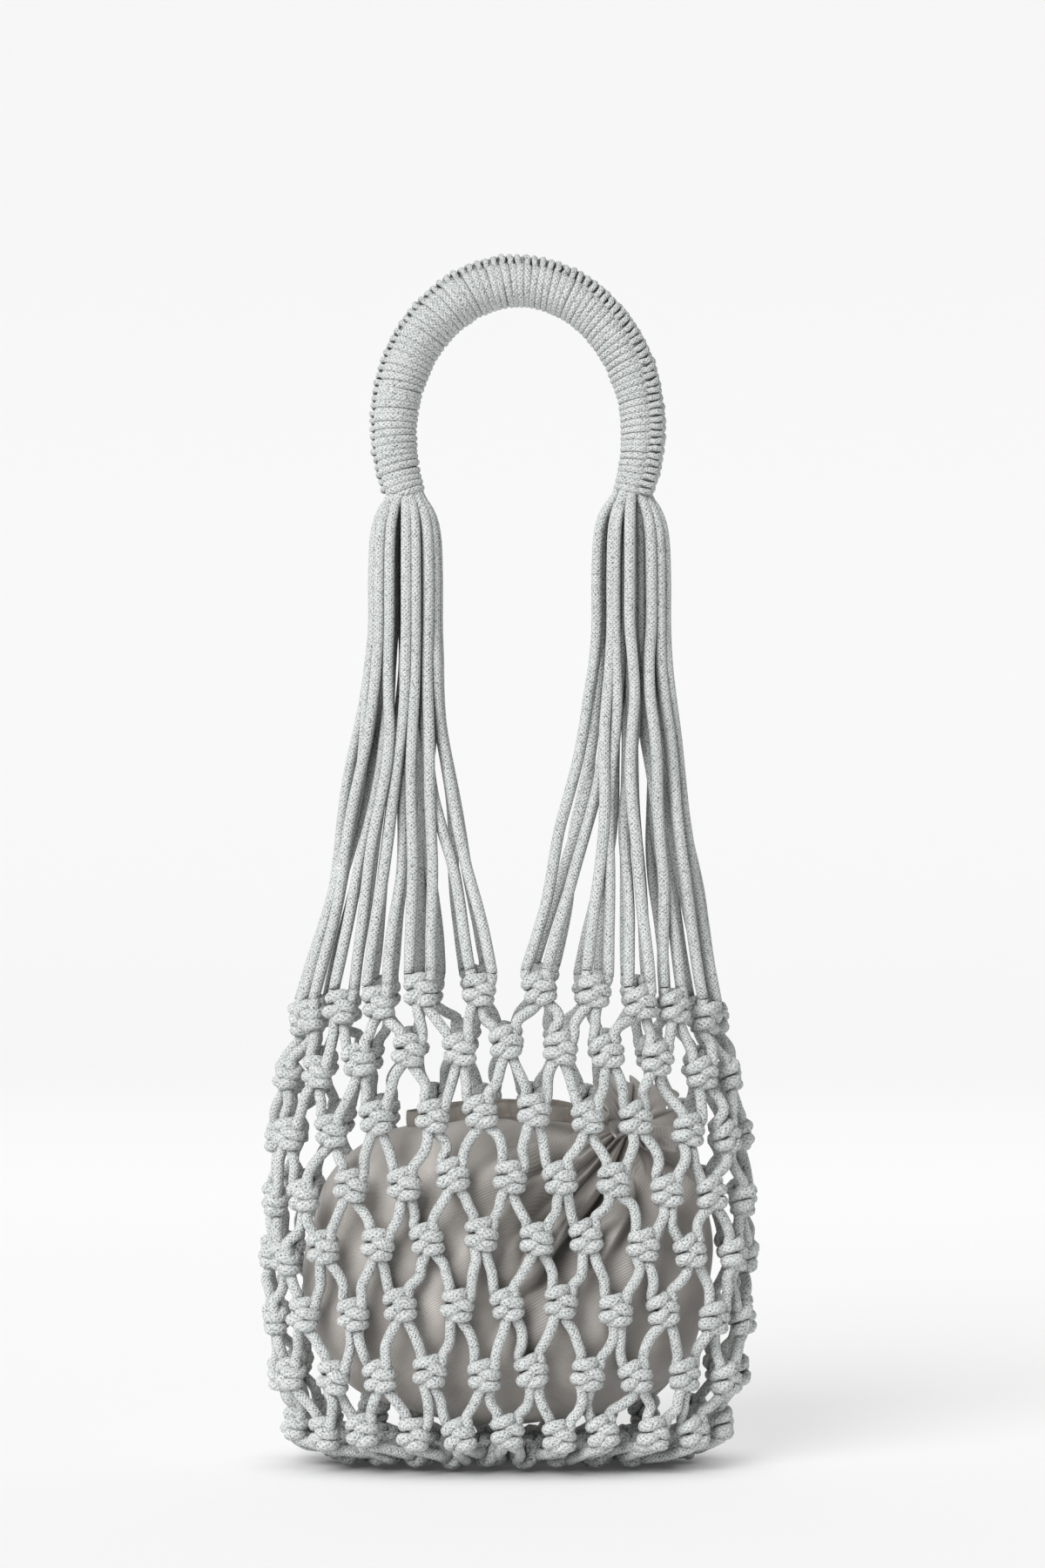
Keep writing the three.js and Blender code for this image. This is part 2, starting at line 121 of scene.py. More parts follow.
def shaded_crevices(tree, colour, reach, darkest):
    """The colour, darker in crevices narrower than reach in metres: painted shade."""
    hollow = add_node(tree, "ShaderNodeAmbientOcclusion", {"samples": 6, "Distance": reach})
    shade = add_node(tree, "ShaderNodeMapRange", {"From Min": 0.1, "From Max": 0.75, "To Min": darkest},
                     {"Value": hollow.outputs["AO"]})
    return add_node(tree, "ShaderNodeVectorMath", {"operation": "SCALE"},
                    {0: colour, "Scale": shade.outputs["Result"]}).outputs["Vector"]


def spline(points, spacing):
    """A smooth curve through points, evenly spaced along it. Columns after the third are carried along."""
    points = np.asarray(points, float)
    ghost = np.vstack([2 * points[0] - points[1], points, 2 * points[-1] - points[-2]])
    fine = []
    for i in range(1, len(ghost) - 2):
        t = np.linspace(0, 1, 12, endpoint=False)[:, None]
        a, b, c, d = ghost[i - 1:i + 3]
        fine.append(0.5 * (2 * b + (c - a) * t + (2 * a - 5 * b + 4 * c - d) * t ** 2
                           + (3 * b - 3 * c + d - a) * t ** 3))
    fine = np.vstack(fine + [points[-1:]])
    along = np.concatenate([[0], np.cumsum(np.linalg.norm(np.diff(fine[:, :3], axis=0), axis=1))])
    steps = max(2, round(along[-1] / spacing) + 1)
    places = np.linspace(0, along[-1], steps)
    return np.stack([np.interp(places, along, column) for column in fine.T], axis=1)


def unit(vectors):
    return vectors / np.maximum(np.linalg.norm(vectors, axis=-1, keepdims=True), 1e-9)


def carried_normals(path, first):
    """Normals along a path that turn as little as they can."""
    tangents = unit(np.gradient(path, axis=0))
    normals = np.empty_like(path)
    normal = np.asarray(first, float)
    for i, tangent in enumerate(tangents):
        normal = normal - tangent * normal.dot(tangent)
        normal = normal / max(np.linalg.norm(normal), 1e-9)
        normals[i] = normal
    return tangents, normals


def sweep(path, thick, wide, sides, first=(0.3, 0.9, 0.31), normals=None):
    """An oval section swept along a path: vertices, faces and UVs, with v as the length along it."""
    path = np.asarray(path, float)
    tangents, carried = carried_normals(path, first)
    if normals is None:
        normals = carried
    else:
        normals = unit(normals - tangents * (normals * tangents).sum(1)[:, None])
    sideways = np.cross(tangents, normals)
    thick = np.broadcast_to(thick, len(path))
    wide = np.broadcast_to(wide, len(path))
    turn = np.arange(sides) * 2 * math.pi / sides
    rings = (path[:, None] + normals[:, None] * (thick[:, None] * np.cos(turn))[..., None]
             + sideways[:, None] * (wide[:, None] * np.sin(turn))[..., None])
    count = len(path)
    ring, side = np.meshgrid(np.arange(count - 1), np.arange(sides), indexing="ij")
    following = (side + 1) % sides
    faces = np.stack([ring * sides + side, ring * sides + following,
                      (ring + 1) * sides + following, (ring + 1) * sides + side], axis=-1).reshape(-1, 4)
    along = np.concatenate([[0], np.cumsum(np.linalg.norm(np.diff(path, axis=0), axis=1))])
    u = np.stack([side, side + 1, side + 1, side], axis=-1) / sides
    v = np.stack([along[ring], along[ring], along[ring + 1], along[ring + 1]], axis=-1)
    uvs = np.stack([u, v], axis=-1).reshape(-1, 4, 2)
    return rings.reshape(-1, 3), faces, uvs


def swept_piece(name, sweeps, sides, material):
    """One object from many sweeps, in millimetres, each closed with a cap at both ends."""
    vertices, faces, uvs, caps = [], [], [], []
    start = 0
    for ring_points, quads, quad_uvs in sweeps:
        vertices.append(ring_points)
        faces.append(quads + start)
        uvs.append(quad_uvs)
        last = start + len(ring_points) - sides
        caps.append(list(range(start, start + sides))[::-1])
        caps.append(list(range(last, last + sides)))
        start += len(ring_points)
    vertices = np.vstack(vertices) * MM
    faces = np.vstack(faces)
    flat_uvs = np.vstack(uvs).reshape(-1)
    mesh = bpy.data.meshes.new(name)
    mesh.from_pydata(vertices.tolist(), [], faces.tolist() + caps)
    layer = mesh.uv_layers.new(name="along")
    values = np.zeros(len(mesh.loops) * 2, dtype=np.float32)
    values[:len(flat_uvs)] = flat_uvs
    layer.data.foreach_set("uv", values)
    mesh.shade_smooth()
    mesh.materials.append(material)
    piece = bpy.data.objects.new(name, mesh)
    bpy.context.scene.collection.objects.link(piece)
    return piece


def cotton_tape():
    """Woven cotton tape: warm grey, with fine ribs across it and a low sheen."""
    material, tree, shader = new_material("woven_cotton_tape")
    place = add_node(tree, "ShaderNodeTexCoord")
    grain = add_node(tree, "ShaderNodeTexNoise", {"Scale": 160, "Detail": 4},
                     {"Vector": place.outputs["Object"]})
    colours = add_node(tree, "ShaderNodeValToRGB", {}, {"Fac": grain.outputs["Fac"]})
    colours.color_ramp.elements[0].color = linear("#857d76")
    colours.color_ramp.elements[0].position = 0.3
    colours.color_ramp.elements[1].color = linear("#aaa29a")
    colours.color_ramp.elements[1].position = 0.7
    stretch = add_node(tree, "ShaderNodeMapping", {"Scale": (0, 1, 1)}, {"Vector": place.outputs["UV"]})
    # ribs 1.2 mm apart, a guess, since the photograph is too soft to count them
    ribs = add_node(tree, "ShaderNodeTexWave", {"Scale": 0.26, "Distortion": 0.4, "bands_direction": "Y"},
                    {"Vector": stretch.outputs["Vector"]})
    bump = add_node(tree, "ShaderNodeBump", {"Strength": 0.35, "Distance": 0.0003},
                    {"Height": ribs.outputs["Fac"]})
    tree.links.new(colours.outputs["Color"], shader.inputs["Base Color"])
    tree.links.new(bump.outputs["Normal"], shader.inputs["Normal"])
    shader.inputs["Roughness"].default_value = 0.7
    shader.inputs["Sheen Weight"].default_value = 0.25
    return material


tape_path = spline(TAPE_ROUTE, TAPE_STEP)
upright = np.tile([0.0, 0.0, 1.0], (len(tape_path), 1))
drawstring = swept_piece(
    "drawstring_tape",
    [sweep(tape_path, TAPE_WIDTH / 2, TAPE_THICKNESS / 2, TAPE_SIDES, normals=upright)],
    TAPE_SIDES,
    cotton_tape(),
)
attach(drawstring, "root")
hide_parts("drawstring")


# Handle
# A padded arch: the bag's cords run through it as a core, and one more length of the same braided
# cotton cord is wound round them tightly. Each turn is locked by a hitch, and the hitches make a ridge.

ARCH_HALF_WIDTH = 59.6
ARCH_HALF_HEIGHT = 71.7
ARCH_UNDERCUT = math.radians(25.5)
GRIP_THICKNESS = 24.6
HANDLE_END_THICKNESS = 19.6
HANDLE_TAPER = 2.5
WRAP_TURNS = 82
WRAP_HALF_HEIGHT = 2.2
POINTS_PER_TURN = 30
# half the width of a turn of the wound cord, as a share of the turns' pitch
WRAP_HALF_WIDTH = 0.68
ARCH_MEAN_RADIUS = 66
RIDGE_GROOVE = 1.5
RIDGE_GROOVE_HALF_WIDTH = 3.0
HITCH_RADIUS = 1.32
HITCH_WANDER = 0.22
CORD_SIDES = 10
# how much each turn slips along, lifts and leans by hand, in mm
TURN_SLIP = 0.36
TURN_LIFT = 0.22
TURN_LEAN = 0.35


def arch_point(angle):
    """Centre of the arch and its outward direction, at angles from its right side over the top."""
    centre = np.stack([ARCH_HALF_WIDTH * np.cos(angle), 0 * angle,
                       ARCH_HALF_HEIGHT * (np.sin(angle) - 1) + GRIP_THICKNESS / 2], axis=-1)
    outward = unit(np.stack([ARCH_HALF_HEIGHT * np.cos(angle), 0 * angle,
                             ARCH_HALF_WIDTH * np.sin(angle)], axis=-1))
    return centre, outward


def grip_thickness(share):
    """The handle's thickness: full at its crown, less towards both ends."""
    towards_end = np.abs(2 * share - 1) ** HANDLE_TAPER
    return GRIP_THICKNESS + (HANDLE_END_THICKNESS - GRIP_THICKNESS) * towards_end


arch_angles = np.linspace(-ARCH_UNDERCUT, math.pi + ARCH_UNDERCUT, 400)
arch_steps = np.linalg.norm(np.diff(arch_point(arch_angles)[0], axis=0), axis=1)
arch_shares = np.concatenate([[0], np.cumsum(arch_steps)]) / arch_steps.sum()
ARCH_LENGTH = float(arch_steps.sum())
WRAP_PITCH = ARCH_LENGTH / WRAP_TURNS


def around_handle(share, turn, height):
    """A point round the handle: share of the way from its right end, turn from outward to the back,
    and height above the middle of the wound cord."""
    angle = np.interp(share, arch_shares, arch_angles)
    centre, outward = arch_point(angle)
    back = np.array([0.0, 1.0, 0.0])
    radial = outward * np.cos(turn)[:, None] + back * np.sin(turn)[:, None]
    reach = grip_thickness(share) / 2 - WRAP_HALF_HEIGHT + height
    return centre + radial * reach[:, None], radial


def ridge_turn(share):
    """Where the ridge of hitches runs: its turn from outward, negative towards the front."""
    return -np.radians(np.interp(share, [0, 0.3, 0.5, 0.7, 1], [50, 46, 24, 2, -25]))


def wound_cord(rng):
    """The cord wound round the handle, pressed in a little beside the ridge."""
    turns = np.linspace(0, WRAP_TURNS, WRAP_TURNS * POINTS_PER_TURN + 1)
    marks = np.arange(WRAP_TURNS + 2)
    slip = np.interp(turns, marks, rng.normal(0, TURN_SLIP, len(marks)))
    lift = np.interp(turns, marks, rng.normal(0, TURN_LIFT, len(marks)))
    lean = np.interp(turns, marks, rng.normal(0, TURN_LEAN, len(marks)))
    angle = turns * 2 * math.pi
    fade = np.clip(np.minimum(turns, WRAP_TURNS - turns), 0, 1)
    travel = turns * WRAP_PITCH + fade * (slip + lean * np.cos(angle))
    share = np.clip(travel / ARCH_LENGTH, 0, 1)
    from_ridge = (angle - ridge_turn(share) + math.pi) % (2 * math.pi) - math.pi
    from_ridge = from_ridge * grip_thickness(share) / 2
    lift = lift - RIDGE_GROOVE * np.exp(-(from_ridge / RIDGE_GROOVE_HALF_WIDTH + 1) ** 2)
    path, radial = around_handle(share, angle, lift)
    # the turns lie further apart on the outside of the arch than on its inside
    spread = 1 + np.cos(angle) * grip_thickness(share) / 2 / ARCH_MEAN_RADIUS
    return sweep(path, WRAP_HALF_HEIGHT, WRAP_PITCH * WRAP_HALF_WIDTH * spread, CORD_SIDES, normals=radial)


def handle_core():
    """The padding under the wound cord, which shows only as darkness between its turns."""
    angles = np.linspace(-ARCH_UNDERCUT, math.pi + ARCH_UNDERCUT, 60)
    centre, outward = arch_point(angles)
    share = np.interp(angles, arch_angles, arch_shares)
    radius = grip_thickness(share) / 2 - 1.6 * WRAP_HALF_HEIGHT
    return sweep(centre, radius, radius, CORD_SIDES, normals=outward)


# one hitch: along the handle, round it, and above the wound cord, in mm
HITCH_POINTS = [(0.2, -5.0, -1.4), (0.1, -3.6, 0.5), (0.0, -1.8, 1.9), (0.3, 0.2, 2.4), (1.0, 2.0, 1.9),
                (2.0, 2.7, 0.6), (2.8, 1.6, -0.9)]


def ridge_hitches(rng):
    """The hitches that lock the turns, one a turn, side by side along the ridge."""
    hitches = []
    for number in range(1, WRAP_TURNS - 1):
        points = np.array(HITCH_POINTS) + rng.normal(0, HITCH_WANDER, (len(HITCH_POINTS), 3))
        middle = number / WRAP_TURNS
        share = middle + points[:, 0] / ARCH_LENGTH
        turn = ridge_turn(middle) + points[:, 1] / (grip_thickness(share) / 2)
        path, _ = around_handle(np.clip(share, 0, 1), turn, points[:, 2])
        hitches.append(sweep(spline(path, 1.0), HITCH_RADIUS, HITCH_RADIUS * 1.12, CORD_SIDES))
    return hitches


# the braid's yarns round the cord, and their pitch along it in mm, about as in the photograph
YARNS_EACH_WAY = 7
YARN_PITCH = 2.0


def braided_cotton():
    """Soft braided cotton cord, heathered pale grey: crossed yarns in relief, matt, with dark fibres, and
    painted shade between the yarns and in the gaps between cords.
    """
    material, tree, shader = new_material("braided_cotton_cord")
    place = add_node(tree, "ShaderNodeTexCoord")
    fibres = add_node(tree, "ShaderNodeTexNoise", {"Scale": 1250, "Detail": 2, "Roughness": 0.6},
                      {"Vector": place.outputs["Object"]})
    heather = add_node(tree, "ShaderNodeValToRGB", {}, {"Fac": fibres.outputs["Fac"]})
    heather.color_ramp.elements[0].color = linear("#7c8384")
    heather.color_ramp.elements[0].position = 0.34
    heather.color_ramp.elements[1].color = linear("#e2e6e5")
    heather.color_ramp.elements[1].position = 0.46
    pale = heather.color_ramp.elements.new(0.62)
    pale.color = linear("#eff1f0")
    drift = add_node(tree, "ShaderNodeTexNoise", {"Scale": 30, "Detail": 2},
                     {"Vector": place.outputs["Object"]})
    shade = add_node(tree, "ShaderNodeValToRGB", {}, {"Fac": drift.outputs["Fac"]})
    shade.color_ramp.elements[0].color = linear("#e9ebeb")
    shade.color_ramp.elements[1].color = linear("#ffffff")
    tinted = add_node(tree, "ShaderNodeMix", {"data_type": "RGBA", "blend_type": "MULTIPLY"})
    tinted.inputs["Factor"].default_value = 1.0
    tree.links.new(heather.outputs["Color"], tinted.inputs["A"])
    tree.links.new(shade.outputs["Color"], tinted.inputs["B"])
    ribs = []
    for yarns in (YARNS_EACH_WAY, -YARNS_EACH_WAY):
        lean = add_node(tree, "ShaderNodeVectorMath", {"operation": "DOT_PRODUCT"},
                        {0: place.outputs["UV"]})
        lean.inputs[1].default_value = (yarns * math.tau, math.tau / YARN_PITCH, 0)
        wave = add_node(tree, "ShaderNodeMath", {"operation": "SINE"}, {0: lean.outputs["Value"]})
        ribs.append(wave)
    braid = add_node(tree, "ShaderNodeMath", {"operation": "MAXIMUM"},
                     {0: ribs[0].outputs[0], 1: ribs[1].outputs[0]})
    # painted shade: the colour is darker in the grooves between the yarns and a little lighter on their
    # tops
    between = add_node(tree, "ShaderNodeMapRange", {"From Min": -0.2, "To Min": 0.78, "To Max": 1.03},
                       {"Value": braid.outputs[0]})
    braided = add_node(tree, "ShaderNodeVectorMath", {"operation": "SCALE"},
                       {0: tinted.outputs["Result"], "Scale": between.outputs["Result"]})
    relief = add_node(tree, "ShaderNodeMath", {"operation": "MULTIPLY_ADD", 1: 0.45},
                      {0: braid.outputs[0], 2: fibres.outputs["Fac"]})
    bump = add_node(tree, "ShaderNodeBump", {"Strength": 0.8, "Distance": 0.0006},
                    {"Height": relief.outputs[0]})
    # painted shade in the gaps between cords and knots
    colour = shaded_crevices(tree, braided.outputs["Vector"], reach=0.011, darkest=0.2)
    tree.links.new(colour, shader.inputs["Base Color"])
    tree.links.new(bump.outputs["Normal"], shader.inputs["Normal"])
    shader.inputs["Roughness"].default_value = 0.92
    shader.inputs["Specular IOR Level"].default_value = 0.2
    shader.inputs["Sheen Weight"].default_value = 0.3
    shader.inputs["Sheen Roughness"].default_value = 0.6
    return material


cotton = braided_cotton()
wrap_rng = np.random.default_rng(7)
handle = swept_piece("wound_handle", [wound_cord(wrap_rng), handle_core(), *ridge_hitches(wrap_rng)],
                     CORD_SIDES, cotton)
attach(handle, "root")
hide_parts("handle_wrap")


# Knots of the net
# Each knot ties two braided cords, which come in at its upper corners and leave side by side below.
# The eight rows hang a little lower at the sides. One more row and a seam of knots close the base.

CORD_RADIUS = 2.55
KNOT_CORD_RADIUS = 2.95
COLUMNS = 22
NET_TOP_DROP = 323.4
ROW_PITCH = 30.5
NET_HALF_WIDTH = 113
NET_HALF_DEPTH = 49
NET_SHIFT = -4.8
NET_SQUARENESS = 2.5
KNOT_WANDER = 1.3
KNOT_LEAN = math.radians(11)
KNOT_CORD_WANDER = 0.24
BASE_KNOT_HEIGHT = -543.6
CORD_BOW = 1.5
# width and depth as shares of the net's half width and half depth, and the drop from the first row at
# the middle and its extra sag at the sides, both in row pitches
NET_ROWS = [
    (0.875, 0.9, 0.0, 0.55),
    (0.937, 0.95, 0.88, 0.58),
    (0.975, 0.98, 1.89, 0.5),
    (0.993, 1.0, 2.87, 0.47),
    (1.0, 1.0, 3.78, 0.45),
    (0.99, 1.0, 4.8, 0.38),
    (0.962, 0.98, 5.86, 0.2),
    (0.9, 0.93, 6.8, 0.05),
]
BASE_ROW = (0.72, 0.5)
SEAM_KNOT_SPACING = 13.0
# how far the two bundles pull the first row apart at the middle, as a share of the way round
FIRST_ROW_PULL = 0.016

# The two cords of a knot in mm: across, up, and outward from its middle
LEFT_CORD = [(-5.0, 7.6, 0.2), (-4.2, 5.2, -0.4), (-2.6, 3.0, 0.4), (0.1, 1.5, 2.9), (2.6, 0.9, 3.5),
             (4.8, 0.0, 1.9), (5.0, -0.1, -1.2), (3.4, 1.7, -3.2), (2.1, 3.6, -2.4), (1.9, 5.0, -0.2),
             (0.2, 5.0, 2.9), (-2.6, 4.2, 3.6), (-4.9, 3.0, 1.9), (-5.1, 1.9, -1.2), (-3.0, 0.3, -3.4),
             (-0.7, -1.6, -2.8), (-0.7, -4.2, -1.3), (-1.7, -7.0, -0.2)]
RIGHT_CORD = [(5.0, 7.6, 0.2), (4.6, 4.6, 0.7), (3.5, 2.0, 0.1), (1.4, -0.6, 0.8), (-0.9, -2.0, 2.9),
              (-3.3, -2.8, 3.4), (-5.0, -3.5, 1.5), (-4.9, -4.2, -1.2), (-3.5, -5.2, -2.2),
              (-1.8, -5.7, 0.0), (0.4, -5.1, 2.8), (2.8, -4.8, 3.3), (4.8, -4.6, 1.4), (4.4, -4.6, -1.6),
              (2.4, -5.4, -2.6), (2.3, -7.2, -0.5)]


def outline_table(half_width, half_depth):
    """The net's plan outline as points with their share of the way round from the front centre."""
    angle = np.linspace(0, 2 * math.pi, 721)
    side, front = np.sin(angle), np.cos(angle)
    power = 2 / NET_SQUARENESS
    points = np.stack([half_width * np.sign(side) * np.abs(side) ** power,
                       -half_depth * np.sign(front) * np.abs(front) ** power], axis=1)
    steps = np.concatenate([[0], np.cumsum(np.linalg.norm(np.diff(points, axis=0), axis=1))])
    return points, steps / steps[-1]


def outline_place(table, share):
    """A point of the outline and the direction round it to the right."""
    points, shares = table
    spots = [(share + shift) % 1 for shift in (0, -0.002, 0.002)]
    x = np.interp(spots, shares, points[:, 0])
    y = np.interp(spots, shares, points[:, 1])
    here, before, after = np.column_stack([x, y, np.zeros(3)])
    return here, unit(after - before)


def wander(row, column, salt):
    """A repeatable value from -1 to 1, because knots tied by hand are never quite even."""
    return math.sin(5.1 * row + 3.7 * column + 2.3 * salt + 1)


net_outlines = [outline_table(width * NET_HALF_WIDTH, depth * NET_HALF_DEPTH)
                for width, depth, _, _ in NET_ROWS]
base_outline = outline_table(BASE_ROW[0] * NET_HALF_WIDTH, BASE_ROW[1] * NET_HALF_DEPTH)
LAST_ROW = len(NET_ROWS) - 1


def knot_frame(row, column):
    """The middle of a knot with its directions across, up and outward."""
    column %= COLUMNS
    share = (column + (0.5 if row % 2 == 0 else 0)) / COLUMNS
    if row == 0:
        aside = (share + 0.25) % 0.5 - 0.25
        pull = FIRST_ROW_PULL * math.sin(math.pi * min(1.0, abs(aside) / 0.2) ** 0.8)
        share += math.copysign(pull, aside)
    if row <= LAST_ROW:
        width, _, drop, sag = NET_ROWS[row]
        centre, across = outline_place(net_outlines[row], share)
        side_share = centre[0] / (width * NET_HALF_WIDTH)
        centre[2] = -NET_TOP_DROP - ROW_PITCH * (drop + sag * side_share ** 2)
        centre[2] += KNOT_WANDER * wander(row, column, 1)
        centre += across * KNOT_WANDER * wander(row, column, 2)
        up = np.array([0.0, 0.0, 1.0])
    else:
        centre, across = outline_place(base_outline, share)
        centre[2] = BASE_KNOT_HEIGHT
        up = np.cross(np.array([0.0, 0.0, -1.0]), across)
    centre[0] += NET_SHIFT
    lean = KNOT_LEAN * wander(row, column, 3)
    outward = np.cross(across, up)
    leant_across = across * math.cos(lean) + up * math.sin(lean)
    leant_up = up * math.cos(lean) - across * math.sin(lean)
    return centre, leant_across, leant_up, outward


def knot_tilt(row, column):
    """How far a knot is turned about its upright and tipped forward, the same for both its cords."""
    return 0.2 * wander(row, column % COLUMNS, 4), 0.16 * wander(row, column % COLUMNS, 5)


def seam_frame(column):
    """A knot of the seam along the middle of the base, which ties the front cords to the back ones."""
    column %= COLUMNS
    place = column if column <= COLUMNS / 2 else column - COLUMNS
    place = place if abs(place) <= COLUMNS / 4 else math.copysign(COLUMNS / 2 - abs(place), place)
    centre = np.array([NET_SHIFT + place * SEAM_KNOT_SPACING, 0.0, BASE_KNOT_HEIGHT])
    return centre, np.array([1.0, 0.0, 0.0]), np.array([0.0, -1.0, 0.0]), np.array([0.0, 0.0, -1.0])


def knot_points(knot, cord, tilt, rng):
    """A cord's way through a knot and its thickness there. The knot as a whole tilts a little."""
    centre, across, up, outward = knot
    local = np.array(cord) + rng.normal(0, KNOT_CORD_WANDER, (len(cord), 3))
    yaw, pitch = tilt
    local[:, 0] += yaw * local[:, 2]
    local[:, 2] += pitch * local[:, 1] - yaw * local[:, 0]
    points = centre + local[:, :1] * across + local[:, 1:2] * up + local[:, 2:] * outward
    radius = np.interp(np.abs(local[:, 1]), [5, 7.5], [KNOT_CORD_RADIUS, CORD_RADIUS])
    return np.column_stack([points, radius])


def bowed(above, below, rng):
    """Two points of the cord between two knots, where it hangs a little slack to one side."""
    length = np.linalg.norm(below[:3] - above[:3])
    slack = min(1.0, length / 16) * rng.normal(0, CORD_BOW, (2, 3)) * np.array([1.0, 0.6, 0.3])
    near, far = above + (below - above) * 0.33, above + (below - above) * 0.67
    near[:3] += slack[0]
    far[:3] += slack[0] + 0.4 * slack[1]
    return np.array([near, far])


# Bare strands
# Forty-four braided cords, half to each end of the handle. They come out from under the wound cord in
# a round bundle, bulge, part, and run down in pairs to the first row of knots.

BUNDLE_HALF_WIDTH = 18.6
STRAND_RADIUS = 2.7
BUNDLE_HALF_DEPTH = 15.0
BUNDLE_CENTRE = ARCH_HALF_WIDTH * math.cos(ARCH_UNDERCUT)
BUNDLE_TOP = ARCH_HALF_HEIGHT * (-math.sin(ARCH_UNDERCUT) - 1) + GRIP_THICKNESS / 2
# height below the handle's end in mm, and the bundle's size as a share of its widest
BUNDLE_LEVELS = [(-12, 0.28), (-3, 0.38), (2, 0.5), (9, 0.78), (20, 0.95), (40, 1.0), (62, 1.0)]
# shares of the way down from the bundle, and of the way out to the knot
STRAND_SPREAD = [(0.1, 0.04), (0.2, 0.1), (0.3, 0.17), (0.4, 0.25), (0.5, 0.34), (0.6, 0.45), (0.7, 0.57),
                 (0.8, 0.71), (0.88, 0.83), (0.95, 0.93)]
# the strands lean outward inside the handle's end and just below it, as a share of the height in mm
END_LEAN = 0.0555
END_LEAN_HEIGHT = 6
CORD_STEP = 2.0


def strand_points(side, order, goal, rng):
    """Where a strand runs, from inside the handle's end to the top of its knot."""
    turn = math.radians(-160 + 320 * order + rng.normal(0, 9))
    fill = 0.42 if round(order * (COLUMNS - 1)) % 3 == 1 else 0.9
    fill += rng.uniform(-0.06, 0.04)
    across = side * fill * BUNDLE_HALF_WIDTH * math.cos(turn)
    back = fill * BUNDLE_HALF_DEPTH * math.sin(turn)
    points = []
    for drop, size in BUNDLE_LEVELS:
        middle = side * (BUNDLE_CENTRE + END_LEAN * max(0, END_LEAN_HEIGHT - drop))
        points.append([middle + across * size, back * size, BUNDLE_TOP - drop])
    start = np.array(points[-1])
    phases = rng.uniform(0, 2 * math.pi, 4)
    swing = rng.uniform(0.8, 2.6, 2)
    for down, out in STRAND_SPREAD:
        point = start + (goal - start) * np.array([out, out, down])
        slack = min(1.0, 4 * down) * min(1.0, 3 * (1 - down))
        for axis in (0, 1):
            slow, quick = phases[2 * axis:2 * axis + 2]
            wave = math.sin(5 * down + slow) + 0.4 * math.sin(13 * down + quick)
            point[axis] += swing[axis] * slack * wave
        points.append(point)
    return np.array(points)


net_rng = np.random.default_rng(21)


def whole_cord(column, leftmost):
    """One cord from the handle through its knots: its strand, and the rest in the net."""
    side = 1 if column < COLUMNS / 2 else -1
    place = column if side > 0 else COLUMNS - 1 - column
    second = (0 if leftmost else 1) if side > 0 else (1 if leftmost else 0)
    order = (2 * place + second) / (COLUMNS - 1)
    role_left = leftmost
    knotted = []
    here = column
    for row in range(LAST_ROW + 2):
        cord = LEFT_CORD if role_left else RIGHT_CORD
        tied = knot_points(knot_frame(row, here), cord, knot_tilt(row, here), net_rng)
        if knotted:
            knotted.append(bowed(knotted[-1][-1], tied[0], net_rng))
        knotted.append(tied)
        shift = 1 if row % 2 == 0 else 0
        here = here - 1 + shift if role_left else here + shift
        role_left = not role_left
    knot = seam_frame(here)
    front = (here % COLUMNS) <= COLUMNS / 4 or (here % COLUMNS) >= 3 * COLUMNS / 4
    tilt = knot_tilt(LAST_ROW + 2, here)
    if front:
        knotted.append(knot_points(knot, LEFT_CORD if role_left else RIGHT_CORD, tilt, net_rng))
    else:
        end = RIGHT_CORD if role_left else LEFT_CORD
        knotted.append(knot_points(knot, end, tilt, net_rng)[-1:])
    knotted = np.vstack(knotted)
    strand = strand_points(side, order, knotted[0, :3], net_rng)
    strand = np.column_stack([strand, np.full(len(strand), STRAND_RADIUS)])
    path = spline(np.vstack([strand, knotted]), CORD_STEP)
    split = int(np.argmin(np.linalg.norm(path - knotted[0], axis=1)))
    return path[:split + 1], path[split:]


def every_other(path):
    """Every other point of a path, with its last one kept."""
    return path[::2] if len(path) % 2 else np.vstack([path[:-1:2], path[-1:]])


def round_cord(path):
    """A cord along a path whose fourth column is its radius."""
    return sweep(path[:, :3], path[:, 3], path[:, 3], CORD_SIDES)


strand_paths = {"left": [], "right": []}
net_paths = {"front": [], "back": []}
for column in range(COLUMNS):
    for leftmost in (True, False):
        strand_path, net_path = whole_cord(column, leftmost)
        end = "right" if column < COLUMNS / 2 else "left"
        strand_paths[end].append(every_other(strand_path))
        half = "front" if knot_frame(0, column)[0][1] < 0 else "back"
        net_paths[half].append(net_path)

for name in ("left", "right"):
    strands = swept_piece("bare_strands_" + name, [round_cord(path) for path in strand_paths[name]],
                          CORD_SIDES, cotton)
    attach(strands, "root")
    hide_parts("strands_" + name)

for half in ("front", "back"):
    net = swept_piece("knotted_net_" + half, [round_cord(path) for path in net_paths[half]],
                      CORD_SIDES, cotton)
    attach(net, "root")
    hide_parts("knotted_net")


# Pouch
# A plump drawstring pouch of cotton satin twill that fills the net, with its mouth gathered tight
# at the upper right and a ruffled hem round it.

POUCH_HALF = np.array([96.0, 41.8, 73.0])
POUCH_CENTRE = np.array([-4.8, 0.0, -459.0])
POUCH_SQUARENESS = 2.6
POUCH_GIRTH = 4 * (POUCH_HALF[0] + POUCH_HALF[1])
MOUTH_DIRECTION = unit(np.array([0.64, -0.12, 0.76]))
FRILL_DIRECTION = unit(np.array([0.42, -0.6, 0.68]))
TIE_RADIUS = 4.6
FRILL_REACH = 18.5
FRILL_LENGTH = 15.0
CLOTH_THICKNESS = 1.1
NECK_LENGTH = 2
NECK_POLAR = math.radians(14)
POLE_GAP = 0.02
GATHERED_ANGLE = math.radians(55)
